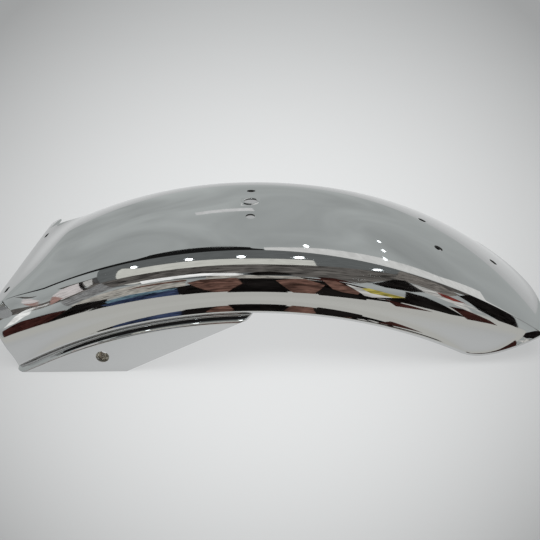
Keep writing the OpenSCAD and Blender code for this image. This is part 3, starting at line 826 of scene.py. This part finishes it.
cards = [
    ("room", "room", -1.26, [(-5, 0), (-5, 4.2), (-3.4, 3.6), (-1.6, 1.55), (-1.3, 0.95), (-0.74, 0.93),
                             (-0.13, 0.87), (0.06, 0.94), (0.18, 0.68), (0.35, 0.65), (0.45, 0.5),
                             (0.8, 0.97), (0.95, 1.05), (2.2, 3.4), (6, 8), (8, 5), (8, 0)]),
    ("left wall", "pink", -1.25, [(-2.63, 1.93), (-3.54, 2.97), (-3.59, 3.32), (-3.32, 3.32), (-1.5, 1.3),
                                  (-1.53, 1.0)]),
    ("left post", "black", -1.24, [(-3.5, 3.51), (-3.24, 3.32), (-1.44, 1.29), (-1.52, 1.32)]),
    ("left box", "pale", -1.23, [(-3.05, 3.14), (-2.95, 3.31), (-1.71, 1.75), (-1.66, 1.57)]),
    ("left strip", "dark", -1.22, [(-3.28, 3.71), (-3.12, 3.7), (-1.54, 1.65), (-1.72, 1.82)]),
    ("left blinds", "mid", -1.22, [(-1.4, 0.85), (-1.36, 1.09), (-1.49, 1.6), (-0.89, 0.83), (-1.01, 0.43)]),
    ("far wall", "beige", -1.23, [(-0.98, 0.38), (-0.98, 0.54), (-0.79, 0.72), (-0.38, 0.67), (-0.31, 0.26),
                                  (-0.81, 0.3)]),
    ("left rail", "brown", -1.21, [(-0.68, 0.53), (-0.62, 0.61), (-0.37, 0.63), (-0.35, 0.55)]),
    ("left black", "black", -0.90, [(-0.69, 0.0), (-0.715, 0.303), (-0.53, 0.226), (-0.49, 0.128),
                                    (-0.53, 0.0)]),
    ("left red", "maroon", -1.20, [(-1.42, 0.21), (-1.3, 0.37), (-1.17, 0.4), (-0.93, 0.29), (-0.79, 0.0),
                                   (-1.2, 0.0)]),
    ("left glare", "white", -1.21, [(-1.52, 0.3), (-1.77, 1.1), (-1.68, 0.99), (-1.43, 0.65), (-1.37, 0.36)]),
    ("left rose", "rose", -1.23, [(-2.45, 1.77), (-2.19, 1.6), (-1.6, 1.11), (-1.52, 0.85)]),
    ("teal cloth", "teal", -0.63, [(-0.379, 0.116), (-0.325, 0.159), (-0.202, 0.156), (-0.212, 0.08),
                                   (-0.349, 0.054)]),
    ("blue cloth", "blue", -0.62, [(-0.365, 0.06), (-0.28, 0.095), (-0.192, 0.127), (-0.175, 0.0),
                                   (-0.33, 0.0)]),
    ("black seat", "black", -0.61, [(-0.198, 0.153), (-0.151, 0.142), (-0.139, 0.0), (-0.172, 0.0)]),
    ("upper rail", "white", -1.22, [(-0.74, 0.92), (-0.35, 0.95), (-0.13, 0.85), (-0.08, 0.76),
                                    (-0.12, 0.67), (-0.29, 0.77), (-0.65, 0.72)]),
    ("centre wall", "beige", -1.24, [(-0.284, 0.751), (0.179, 0.65), (0.255, 0.578), (0.225, 0.366),
                                     (-0.243, 0.41)]),
    ("dark shelf", "black", -1.23, [(-0.073, 0.784), (-0.022, 0.904), (0.053, 0.943), (0.13, 0.863),
                                    (0.16, 0.727), (-0.022, 0.693)]),
    ("left bar", "brown", -0.50, [(-0.165, 0.211), (-0.14, 0.25), (-0.06, 0.25), (-0.045, 0.13),
                                  (-0.061, 0.0), (-0.09, 0.0)]),
    ("left backing", "black", -0.66, [(-0.40, 0.0), (-0.40, 0.13), (-0.2, 0.19), (-0.13, 0.27), (-0.1, 0.27),
                                      (-0.1, 0.0)]),
    ("centre backing", "black", -0.52, [(-0.15, 0.0), (-0.15, 0.25), (0.05, 0.24), (0.15, 0.2), (0.12, 0.0)]),
    ("right backing", "black", -0.44, [(0.05, 0.0), (0.05, 0.21), (0.14, 0.17), (0.24, 0.06), (0.2, 0.0)]),
    ("black drape", "black", -0.41, [(-0.062, 0.0), (-0.055, 0.06), (-0.033, 0.17), (0.007, 0.17),
                                     (0.024, 0.0)]),
    ("right bar", "brown", -0.42, [(0.013, 0.17), (0.04, 0.2), (0.067, 0.204), (0.093, 0.128), (0.063, 0.0),
                                   (0.032, 0.0)]),
    ("low bar", "brown", -0.38, [(0.089, 0.19), (0.11, 0.187), (0.132, 0.07), (0.124, 0.042), (0.092, 0.06)]),
    ("red rail", "maroon", -1.21, [(0.173, 0.605), (0.267, 0.672), (0.344, 0.648), (0.428, 0.44),
                                   (0.436, 0.275), (0.341, 0.497), (0.27, 0.561), (0.191, 0.534)]),
    ("right cloth", "black", -0.36, [(0.059, 0.03), (0.078, 0.096), (0.101, 0.048), (0.13, 0.03),
                                     (0.125, 0.0), (0.061, 0.0)]),
    ("cream box", "pale", -0.37, [(0.119, 0.149), (0.133, 0.123), (0.207, 0.069), (0.212, 0.029),
                                  (0.15, 0.025), (0.131, 0.04)]),
    ("yellow box", "yellow", -0.365, [(0.136, 0.11), (0.151, 0.12), (0.17, 0.09), (0.217, 0.047),
                                      (0.198, 0.037), (0.144, 0.07)]),
    ("black wedge", "black", -1.20, [(0.5, 0.53), (0.76, 0.95), (0.87, 1.0), (0.76, 0.56), (0.75, 0.45),
                                     (0.64, 0.36), (0.53, 0.41)]),
    ("grey pillar", "warm", -1.23, [(2.06, 3.33), (1.23, 0.8), (0.92, 0.49), (0.84, 1.11)]),
    ("right goods", "pale", -1.19, [(0.8, 0.76), (0.89, 0.62), (0.87, 0.23), (0.95, 0.0), (0.82, 0.0),
                                    (0.73, 0.42)]),
    ("red board", "red", -1.18, [(0.864, 0.577), (0.902, 0.501), (0.921, 0.309), (0.83, 0.297),
                                 (0.808, 0.391)]),
    ("black shelf", "black", -1.20, [(1.12, 0.7), (6.5, 5.5), (6.0, 4.3), (1.44, 0.25), (1.2, 0.0),
                                     (1.0, 0.0), (0.95, 0.19)]),
    ("low rail", "black", -0.30, [(0.106, 0.029), (0.183, 0.113), (0.205, 0.09), (0.24, 0.0), (0.22, 0.0),
                                  (0.168, 0.06), (0.136, 0.035)]),
    ("low red", "maroon", -0.29, [(0.133, 0.035), (0.19, 0.0), (0.141, 0.0)]),
    ("low goods", "maroon", -0.25, [(0.202, 0.047), (0.221, 0.046), (0.253, 0.015), (0.26, 0.0),
                                    (0.214, 0.0)]),
]
for name, paint, at, corners in cards:
    card(name, corners, paints[paint], "y", at)
print("cards in front:", len(cards))

# %% [markdown]
# ## Light, world and camera
# One wide soft lamp lights the floor from above, and a soft grey world fills in. The camera stands where
# the photographer stood: its height, tilt and lens were worked out from the arch and the holes.

# %% Light and world
key_data = bpy.data.lights.new("soft lamp", "AREA")
key_data.shape, key_data.size, key_data.size_y, key_data.energy = "RECTANGLE", 1.6, 1.2, 14
key = bpy.data.objects.new("soft lamp", key_data)
key.location = (0.0, -0.3, 1.5)
key.visible_glossy = False
bpy.context.scene.collection.objects.link(key)

world = bpy.data.worlds.new("room light")
world.use_nodes = True
background = world.node_tree.nodes["Background"]
background.inputs["Color"].default_value = (0.95, 1.0, 0.99, 1)
clouds = world.node_tree.nodes.new("ShaderNodeTexNoise")
clouds.inputs["Scale"].default_value, clouds.inputs["Detail"].default_value = 2.2, 3
clouds.inputs["Distortion"].default_value = 1.0
fade = world.node_tree.nodes.new("ShaderNodeMapRange")
for label, value in (("From Min", 0.3), ("From Max", 0.7), ("To Min", 0.40), ("To Max", 0.58)):
    fade.inputs[label].default_value = value
sky = world.node_tree.nodes.new("ShaderNodeTexCoord")
world.node_tree.links.new(sky.outputs["Generated"], clouds.inputs["Vector"])
world.node_tree.links.new(clouds.outputs["Fac"], fade.inputs["Value"])
world.node_tree.links.new(fade.outputs["Result"], background.inputs["Strength"])
bpy.context.scene.world = world

# %% Camera
camera_data = bpy.data.cameras.new("camera")
camera_data.sensor_width, camera_data.lens = 36, 40.127
camera = bpy.data.objects.new("camera", camera_data)
camera.location = (EYE_X, EYE_Y, EYE_H)
camera.rotation_euler = (math.radians(EYE_TILT), 0, math.radians(EYE_TURN))
bpy.context.scene.collection.objects.link(camera)
bpy.context.scene.camera = camera
bpy.context.scene.view_settings.view_transform = "Standard"
